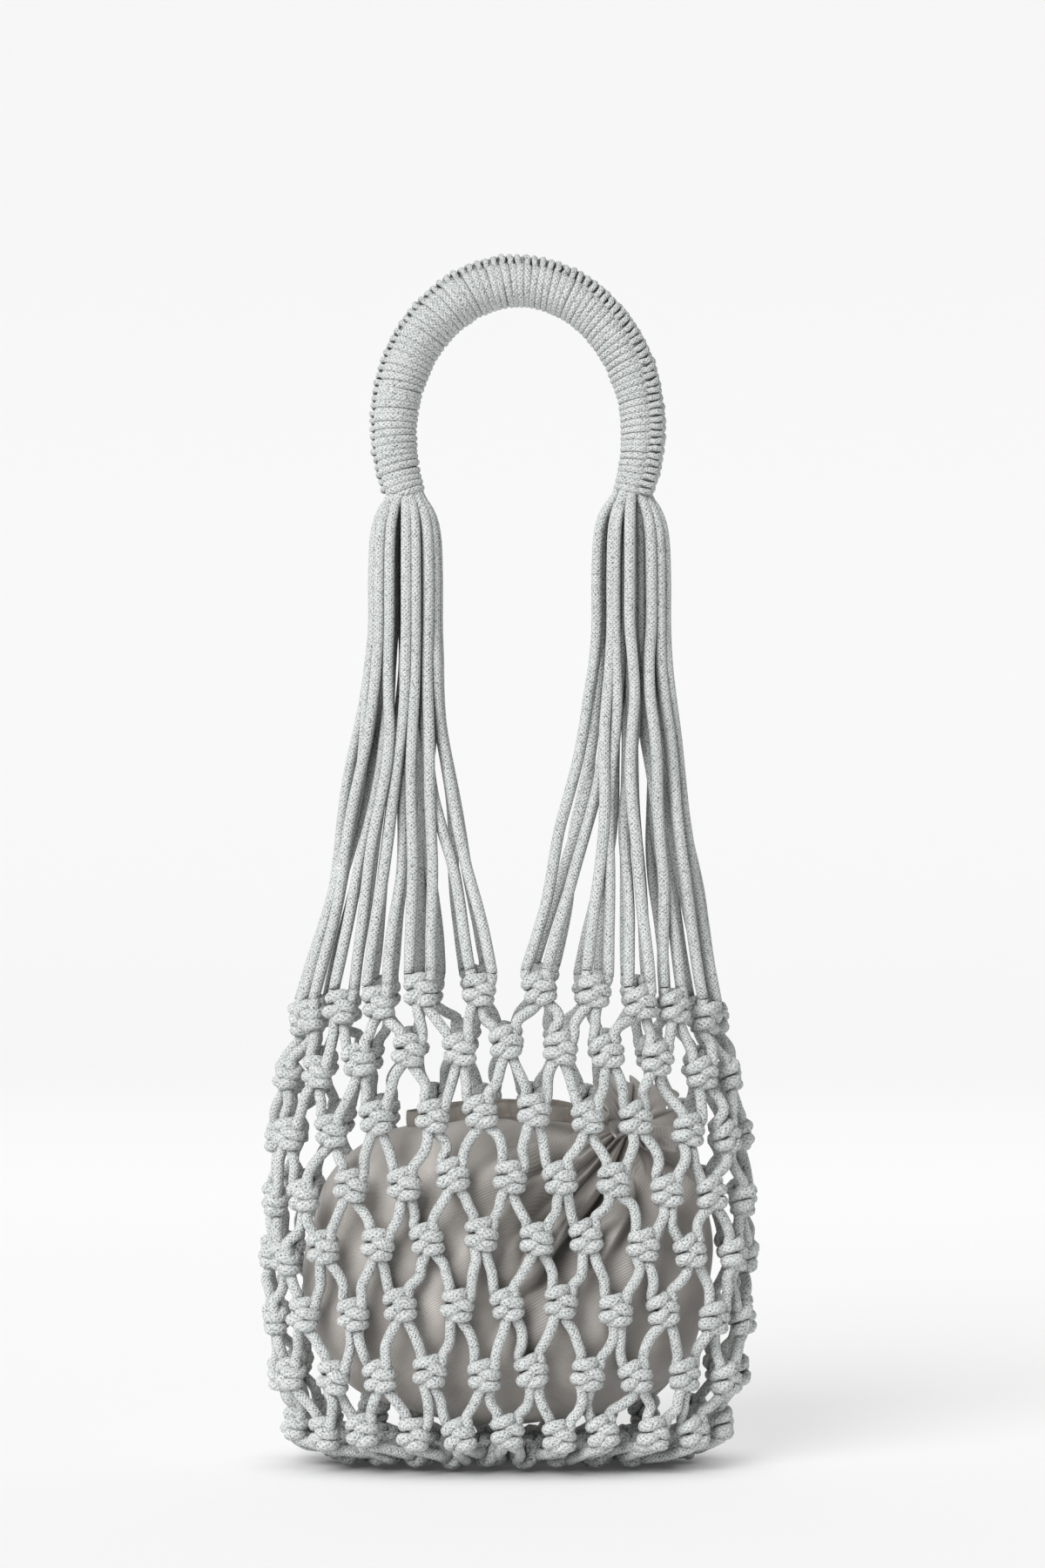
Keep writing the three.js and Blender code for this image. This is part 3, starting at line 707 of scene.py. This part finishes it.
# the crown under the tape stays even, so that the tape lies on it: folds start below this height and
# reach their full depth at the fade's length under it
CROWN_HEIGHT = -385.5
CROWN_FADE = 7
# the mouth turns towards the front: in full within the first distance from the neck, and not past the
# second
BENT_WITHIN = 20
BENT_UP_TO = 62
DENT_HEIGHT = 0.36
DENT_LENGTHS = (32, 75)
DENT_WAVES = 16
AROUND = 160
BODY_RINGS = 70
CLOSING_RINGS = 8
FRILL_RINGS = 12
SETTLE_FRAMES = 16
MOST_SETTLE = 5.0
# the loose cloth before it is gathered: longer by the first value everywhere, and wider by up to the
# second at the mouth
SLACK = 1.07
MOUTH_SLACK = 1.5

# Folds drawn in by the string: turn round the mouth, its bend, depth and half width in mm, and the
# polar angles from the mouth where each starts and ends
POUCH_FOLDS = [
    (0.985, 0.03, 27, 5.4, 10, 112),
    (0.03, 0.02, 12, 4.0, 10, 74),
    (0.075, -0.03, 26, 5.4, 10, 128),
    (0.13, -0.01, 11, 5.0, 10, 88),
    (0.19, 0.0, 8, 6.0, 10, 66),
    (0.26, 0.02, 9, 6.0, 10, 80),
    (0.34, 0.0, 8, 6.0, 10, 75),
    (0.42, 0.02, 11, 6.0, 10, 92),
    (0.5, -0.02, 8, 6.0, 10, 70),
    (0.57, 0.0, 10, 6.0, 10, 86),
    (0.65, 0.02, 8, 6.0, 10, 72),
    (0.72, 0.02, 9, 6.0, 10, 80),
    (0.78, 0.02, 7, 6.0, 10, 60),
    (0.835, -0.02, 8, 6.0, 10, 84),
    (0.885, 0.03, 13, 5.6, 14, 108),
    (0.935, 0.05, 20, 5.6, 12, 120),
]


def pouch_reach(directions):
    """The plump pouch's reach from its centre in each direction."""
    return (np.abs(directions / POUCH_HALF) ** POUCH_SQUARENESS).sum(-1) ** (-1 / POUCH_SQUARENESS)


mouth_front = np.array([0.0, -1.0, 0.0])
mouth_front = unit(mouth_front - MOUTH_DIRECTION * mouth_front.dot(MOUTH_DIRECTION))
mouth_side = np.cross(MOUTH_DIRECTION, mouth_front)
mouth_turn = np.arange(AROUND) * 2 * math.pi / AROUND
neck_reach = float(pouch_reach(MOUTH_DIRECTION[None])[0])


def ripple(salt, counts, heights):
    """A wavy line round the mouth, summed from waves of the given counts and heights."""
    waves = [height * np.sin(count * mouth_turn + salt * (1.7 * count + 1))
             for count, height in zip(counts, heights)]
    return np.sum(waves, axis=0)


def fold_depth(polar, ring_radius):
    """How deep the drawn folds press into the ring at a polar angle from the mouth."""
    depth = 0 * mouth_turn
    for turn, bend, deep, half_width, start, end in POUCH_FOLDS:
        along = max(0.0, (math.degrees(polar) - start) / (end - start))
        if along >= 1:
            continue
        place = turn + bend * along + 0.006 * math.sin(9 * along + 40 * turn)
        aside = np.abs((mouth_turn / math.tau - place + 0.5) % 1 - 0.5) * math.tau * ring_radius
        width = half_width * (0.6 + 0.9 * along)
        strength = deep * (1 - along) * min(1.0, 0.35 + ring_radius.mean() / 30)
        depth += strength * (np.exp(-(aside / width) ** 1.4) - 0.3 * np.exp(-(aside / width - 2.1) ** 2))
    return depth


dent_rng = np.random.default_rng(11)
dent_waves = []
for _ in range(DENT_WAVES):
    wave = unit(dent_rng.normal(size=3)) * 2 * math.pi / dent_rng.uniform(*DENT_LENGTHS)
    dent_waves.append((wave, dent_rng.uniform(0, 6.28)))


def soft_dents(points):
    """Shallow dents all over, as in any stuffed cloth, in mm."""
    return DENT_HEIGHT * np.sum([np.sin(points @ wave + phase) for wave, phase in dent_waves], axis=0)


def bent_mouth(points):
    """Turn the mouth towards the front, fading out over the cloth round it."""
    neck = POUCH_CENTRE + MOUTH_DIRECTION * neck_reach
    axis = unit(np.cross(MOUTH_DIRECTION, FRILL_DIRECTION))
    offset = points - neck
    distance = np.linalg.norm(offset, axis=-1, keepdims=True)
    near = np.clip((BENT_UP_TO - distance) / (BENT_UP_TO - BENT_WITHIN), 0, 1)
    angle = math.acos(float(MOUTH_DIRECTION @ FRILL_DIRECTION)) * near * near * (3 - 2 * near)
    along = (offset @ axis)[..., None] * axis
    return neck + along + (offset - along) * np.cos(angle) + np.cross(axis, offset) * np.sin(angle)


def pouch_rings():
    """The cloth's rings from the far end over the body and the tie to the frill's lip and back inside.
    Also the rings of the plump form without folds, how freely each point may fold and settle, and the
    number of rings below the tie."""
    ring_direction = mouth_front * np.cos(mouth_turn)[:, None] + mouth_side * np.sin(mouth_turn)[:, None]
    pleats = ripple(1.0, (13, 17, 22), (0.5, 0.8, 0.4))
    rings, plump, freedom = [], [], []
    for share in np.linspace(0, 1, BODY_RINGS) ** 0.9:
        polar = math.pi - share * (math.pi - NECK_POLAR)
        polar = min(max(polar, NECK_POLAR + POLE_GAP), math.pi - POLE_GAP)
        direction = MOUTH_DIRECTION * math.cos(polar) + ring_direction * math.sin(polar)
        reach = pouch_reach(direction)
        smooth = POUCH_CENTRE + direction * reach[:, None]
        radius = reach * math.sin(polar)
        free = np.clip((CROWN_HEIGHT - smooth[:, 2]) / CROWN_FADE, 0, 1)
        close = max(0.0, 1 - (polar - NECK_POLAR) / GATHERED_ANGLE) ** 2
        shift = close * pleats - fold_depth(polar, radius) + soft_dents(direction * reach[:, None])
        rings.append(smooth + direction * (free * shift)[:, None])
        plump.append(smooth)
        freedom.append(free)
    edge = rings[-1] - POUCH_CENTRE
    edge_along = edge @ MOUTH_DIRECTION
    edge_radius = np.linalg.norm(edge - edge_along[:, None] * MOUTH_DIRECTION, axis=1)
    for share in np.linspace(0, 1, CLOSING_RINGS + 1)[1:]:
        radius = edge_radius * (1 - share) + TIE_RADIUS * share + 1.3 * pleats * (0.6 + 0.4 * share)
        along = edge_along * (1 - share) + (neck_reach + NECK_LENGTH) * share
        along = along + 1.5 * math.sin(math.pi * share)
        rings.append(POUCH_CENTRE + MOUTH_DIRECTION * along[:, None] + ring_direction * radius[:, None])
        freedom.append(np.full(AROUND, 1 - share))
    tie_level = len(rings)
    rise = ripple(2.0, (2, 3, 7, 12), (1.4, 1.6, 1.7, 1.5))
    for share in np.linspace(0, 1, FRILL_RINGS + 1)[1:]:
        radius = TIE_RADIUS + FRILL_REACH * share ** 1.15 + 1.7 * pleats * (1 - 0.5 * share)
        radius = radius + share * ripple(3.0, (6, 10, 15), (1.4, 2.6, 2.3))
        along = neck_reach + NECK_LENGTH + FRILL_LENGTH * share ** 0.75 - 2.5 * share ** 3 + share * rise
        turn = mouth_turn + share * ripple(4.0, (6, 10, 15), (0.06, 0.08, 0.05))
        direction = mouth_front * np.cos(turn)[:, None] + mouth_side * np.sin(turn)[:, None]
        rings.append(POUCH_CENTRE + MOUTH_DIRECTION * along[:, None] + direction * radius[:, None])
    outer = np.array(rings[tie_level - 3:])
    round_mouth = np.roll(outer, -1, axis=1) - np.roll(outer, 1, axis=1)
    inward = unit(np.cross(round_mouth, np.gradient(outer, axis=0)))
    inner = (outer - inward * CLOTH_THICKNESS)[::-1]
    plump += rings[BODY_RINGS:] + list(inner)
    rings += list(inner)
    freedom += [np.zeros(AROUND)] * (len(rings) - tie_level)
    return bent_mouth(np.array(rings)), np.array(plump), np.array(freedom), tie_level


def loose_rings(rings):
    """The same cloth before it is gathered: longer round the mouth and a little longer everywhere, so
    that the simulation has cloth to fold."""
    along = (rings - POUCH_CENTRE) @ MOUTH_DIRECTION
    radial = rings - POUCH_CENTRE - along[..., None] * MOUTH_DIRECTION
    radius = np.linalg.norm(radial, axis=2).mean(1)
    degrees = np.degrees(np.arctan2(radius, along.mean(1)))
    swell = SLACK + MOUTH_SLACK * np.exp(-np.maximum(0, (degrees - 14) / 38) ** 1.3)
    steps = SLACK * np.linalg.norm(np.diff(rings, axis=0), axis=2).mean(1)
    across = np.diff(radius * swell)
    rises = np.sqrt(np.maximum(steps ** 2 - across ** 2, (0.25 * steps) ** 2))
    heights = along[0].mean() + np.concatenate([[0], np.cumsum(rises)])
    return POUCH_CENTRE + heights[:, None, None] * MOUTH_DIRECTION + radial * swell[:, None, None]


def settled(cloth, pinned_from, loose, frames):
    """Where the cloth's points settle under a light stuffing pressure, in metres."""
    trial = cloth.copy()
    trial.data = cloth.data.copy()
    bpy.context.scene.collection.objects.link(trial)
    trial.shape_key_add(name="gathered")
    rest = trial.shape_key_add(name="loose")
    rest.data.foreach_set("co", loose.astype(np.float32).ravel())
    rest.value = 0
    held = trial.vertex_groups.new(name="held")
    held.add(list(range(pinned_from, len(trial.data.vertices))), 1.0, "REPLACE")
    simulation = trial.modifiers.new("Cloth", "CLOTH")
    settings = simulation.settings
    settings.quality = 6
    settings.mass = 0.0015
    settings.tension_stiffness = 10
    settings.compression_stiffness = 10
    settings.shear_stiffness = 3.3
    settings.bending_stiffness = 0.02
    settings.vertex_group_mass = "held"
    settings.rest_shape_key = rest
    settings.use_pressure = True
    settings.uniform_pressure_force = 0.8
    settings.effector_weights.gravity = 0
    simulation.collision_settings.use_collision = False
    simulation.point_cache.frame_start = 1
    simulation.point_cache.frame_end = frames
    for number in range(1, frames + 1):
        bpy.context.scene.frame_set(number)
    found = trial.evaluated_get(bpy.context.evaluated_depsgraph_get())
    points = np.empty(len(found.data.vertices) * 3, dtype=np.float32)
    found.data.vertices.foreach_get("co", points)
    trial_mesh = trial.data
    bpy.data.objects.remove(trial)
    bpy.data.meshes.remove(trial_mesh)
    bpy.context.scene.frame_set(1)
    return points.reshape(-1, 3)


def cloth_places(plump):
    """Where each point lies on the flat cloth in mm, so that the twill follows the folds."""
    local = plump - POUCH_CENTRE
    share_x = local[..., 0] / POUCH_HALF[0]
    share_y = local[..., 1] / POUCH_HALF[1]
    angle = np.arctan2(share_x, -share_y)
    level = np.abs(share_x) ** POUCH_SQUARENESS + np.abs(share_y) ** POUCH_SQUARENESS
    level = level ** (1 / POUCH_SQUARENESS)
    return np.stack([angle / math.tau * POUCH_GIRTH, local[..., 2] * (1 + 0.3 * (1 - level))], axis=-1)


# ribs that rise to the right, counted in a millimetre of cloth across and up: they lie 1 mm apart, about
# as in the photograph
TWILL_ACROSS = -0.53
TWILL_UP = 0.85


def satin_twill():
    """Cotton satin twill, warm grey: fine diagonal ribs with painted shade between them, a soft sheen that
    catches the folds, and painted shade in the folds and beside the net's cords.
    """
    material, tree, shader = new_material("satin_twill_cloth")
    place = add_node(tree, "ShaderNodeTexCoord")
    drift = add_node(tree, "ShaderNodeTexNoise", {"Scale": 40, "Detail": 5},
                     {"Vector": place.outputs["Object"]})
    colours = add_node(tree, "ShaderNodeValToRGB", {}, {"Fac": drift.outputs["Fac"]})
    colours.color_ramp.elements[0].color = linear("#cbc4be")
    colours.color_ramp.elements[0].position = 0.3
    colours.color_ramp.elements[1].color = linear("#d8d2cc")
    colours.color_ramp.elements[1].position = 0.7
    slant = add_node(tree, "ShaderNodeVectorMath", {"operation": "DOT_PRODUCT"}, {0: place.outputs["UV"]})
    slant.inputs[1].default_value = (TWILL_ACROSS * math.tau, TWILL_UP * math.tau, 0)
    ribs = add_node(tree, "ShaderNodeMath", {"operation": "SINE"}, {0: slant.outputs["Value"]})
    # painted shade and light: the colour is darker in the ribs' grooves and a little lighter on their tops
    shade = add_node(tree, "ShaderNodeMapRange", {"From Min": -1.0, "To Min": 0.8, "To Max": 1.06},
                     {"Value": ribs.outputs[0]})
    rib_shaded = add_node(tree, "ShaderNodeVectorMath", {"operation": "SCALE"},
                       {0: colours.outputs["Color"], "Scale": shade.outputs["Result"]})
    bump = add_node(tree, "ShaderNodeBump", {"Strength": 0.3, "Distance": 0.00025},
                    {"Height": ribs.outputs[0]})
    # painted shade in the folds and painted shadow beside the net's cords
    colour = shaded_crevices(tree, rib_shaded.outputs["Vector"], reach=0.02, darkest=0.25)
    tree.links.new(colour, shader.inputs["Base Color"])
    tree.links.new(bump.outputs["Normal"], shader.inputs["Normal"])
    shader.inputs["Roughness"].default_value = 0.5
    shader.inputs["Sheen Weight"].default_value = 0.35
    shader.inputs["Sheen Roughness"].default_value = 0.45
    return material


rings, plump, freedom, tie_level = pouch_rings()
levels = len(rings)
ring, side = np.meshgrid(np.arange(levels - 1), np.arange(AROUND), indexing="ij")
following = (side + 1) % AROUND
quads = np.stack([ring * AROUND + side, ring * AROUND + following,
                  (ring + 1) * AROUND + following, (ring + 1) * AROUND + side], axis=-1).reshape(-1, 4)
points = np.vstack([rings.reshape(-1, 3), rings[0].mean(0), rings[-1].mean(0)]) * MM
far_pole = levels * AROUND
last_ring = (levels - 1) * AROUND
caps = [(far_pole, (i + 1) % AROUND, i) for i in range(AROUND)]
caps += [(far_pole + 1, last_ring + i, last_ring + (i + 1) % AROUND) for i in range(AROUND)]
pouch_mesh = bpy.data.meshes.new("fabric_pouch_cloth")
pouch_mesh.from_pydata(points.tolist(), [], quads.tolist() + caps)
pouch = bpy.data.objects.new("fabric_pouch_cloth", pouch_mesh)
bpy.context.scene.collection.objects.link(pouch)

loose = loose_rings(rings)
loose_points = np.vstack([loose.reshape(-1, 3), loose[0].mean(0), loose[-1].mean(0)]) * MM
moved = settled(pouch, (tie_level - 2) * AROUND, loose_points, SETTLE_FRAMES) - points
free = np.concatenate([freedom.ravel(), [1.0, 0.0]])[:, None]
length = np.linalg.norm(moved, axis=1, keepdims=True)
moved = moved * free * np.minimum(1, MOST_SETTLE * MM / np.maximum(length, 1e-9))
pouch_mesh.vertices.foreach_set("co", (points + moved).astype(np.float32).ravel())
pouch_mesh.update()

places = np.vstack([cloth_places(plump).reshape(-1, 2), cloth_places(plump[0].mean(0)),
                    cloth_places(plump[-1].mean(0))])
corners = np.empty(len(pouch_mesh.loops), dtype=np.int32)
pouch_mesh.loops.foreach_get("vertex_index", corners)
corner_places = places[corners]
starts = np.repeat([polygon.loop_start for polygon in pouch_mesh.polygons],
                   [polygon.loop_total for polygon in pouch_mesh.polygons])
# where a face crosses the cloth's back seam, its corners are brought to the same side of it
turns = np.round((corner_places[:, 0] - corner_places[starts, 0]) / POUCH_GIRTH)
corner_places[:, 0] -= POUCH_GIRTH * turns
pouch_layer = pouch_mesh.uv_layers.new(name="cloth")
pouch_layer.data.foreach_set("uv", corner_places.astype(np.float32).ravel())
pouch_mesh.shade_smooth()
pouch_mesh.materials.append(satin_twill())
smoother = pouch.modifiers.new("Subdivision", "SUBSURF")
smoother.levels = 1
smoother.render_levels = 1
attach(pouch, "root")
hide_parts("fabric_pouch")


# Floor and light
# A plain white sheet that lies as the floor and curves up into a backdrop behind the bag, with a wide
# soft light from the upper left in front and an even pale surround. Its sizes are in metres.

FLOOR_HEIGHT = -551.9 * MM
FLOOR_REACH = 30.0
BACKDROP_START = 1.2
BACKDROP_CURVE = 1.0
BACKDROP_HEIGHT = 5.0
# the glow of the floor and of the upright part, which also catches the light of the floor
FLOOR_GLOW = 0.61
BACKDROP_GLOW = 0.525
GLOW_CHANGE = 0.1


def studio_paper():
    """Matt sheet that glows a little, as if lit from behind, so that the shadows on it stay light; close
    under the bag the glow fades, a painted contact shadow.
    """
    material, tree, shader = new_material("lit_studio_sheet")
    shader.inputs["Base Color"].default_value = linear("#a0a0a0")
    shader.inputs["Roughness"].default_value = 1.0
    shader.inputs["Specular IOR Level"].default_value = 0.0
    shader.inputs["Emission Color"].default_value = linear("#ffffff")
    place = add_node(tree, "ShaderNodeTexCoord")
    height = add_node(tree, "ShaderNodeSeparateXYZ", {}, {"Vector": place.outputs["Object"]})
    glow = add_node(tree, "ShaderNodeMapRange",
                    {"From Min": FLOOR_HEIGHT, "From Max": FLOOR_HEIGHT + GLOW_CHANGE,
                     "To Min": FLOOR_GLOW, "To Max": BACKDROP_GLOW},
                    {"Value": height.outputs["Z"]})
    # painted contact shadow: the glow fades close under the bag, so that it is dark there
    under = add_node(tree, "ShaderNodeAmbientOcclusion", {"samples": 6, "Distance": 0.042})
    painted_contact_shadow = add_node(tree, "ShaderNodeMapRange", {"From Min": 0.12, "From Max": 0.85, "To Min": 0.06},
                          {"Value": under.outputs["AO"]})
    strength = add_node(tree, "ShaderNodeMath", {"operation": "MULTIPLY"},
                        {0: glow.outputs["Result"], 1: painted_contact_shadow.outputs["Result"]})
    tree.links.new(strength.outputs[0], shader.inputs["Emission Strength"])
    return material


profile = [(-FLOOR_REACH, 0.0), (BACKDROP_START, 0.0)]
for turn in np.linspace(0.1, math.pi / 2, 16):
    away = BACKDROP_START + BACKDROP_CURVE * math.sin(turn)
    profile.append((away, BACKDROP_CURVE * (1 - math.cos(turn))))
profile.append((BACKDROP_START + BACKDROP_CURVE, BACKDROP_HEIGHT))
edges = [(x, y, FLOOR_HEIGHT + z) for y, z in profile for x in (-FLOOR_REACH, FLOOR_REACH)]
strips = [(2 * i, 2 * i + 1, 2 * i + 3, 2 * i + 2) for i in range(len(profile) - 1)]
paper_mesh = bpy.data.meshes.new("studio_floor")
paper_mesh.from_pydata(edges, [], strips)
paper_mesh.shade_smooth()
paper_mesh.materials.append(studio_paper())
paper = bpy.data.objects.new("studio_floor", paper_mesh)
bpy.context.scene.collection.objects.link(paper)


LIGHT_DIRECTION = Vector((0.48, 0.74, -0.66))
LIGHT_STRENGTH = 3.0
LIGHT_SOFTNESS = math.radians(38)

lamp = bpy.data.lights.new("soft_key", "SUN")
lamp.energy = LIGHT_STRENGTH
lamp.angle = LIGHT_SOFTNESS
key = bpy.data.objects.new("soft_key", lamp)
bpy.context.scene.collection.objects.link(key)
key.rotation_euler = LIGHT_DIRECTION.to_track_quat("-Z", "Y").to_euler()
world = bpy.data.worlds.new("studio_surround")
world.use_nodes = True
world.node_tree.nodes["Background"].inputs["Color"].default_value = linear("#f8f8f8")
world.node_tree.nodes["Background"].inputs["Strength"].default_value = 0.12
bpy.context.scene.world = world
bpy.context.scene.view_settings.view_transform = "Standard"
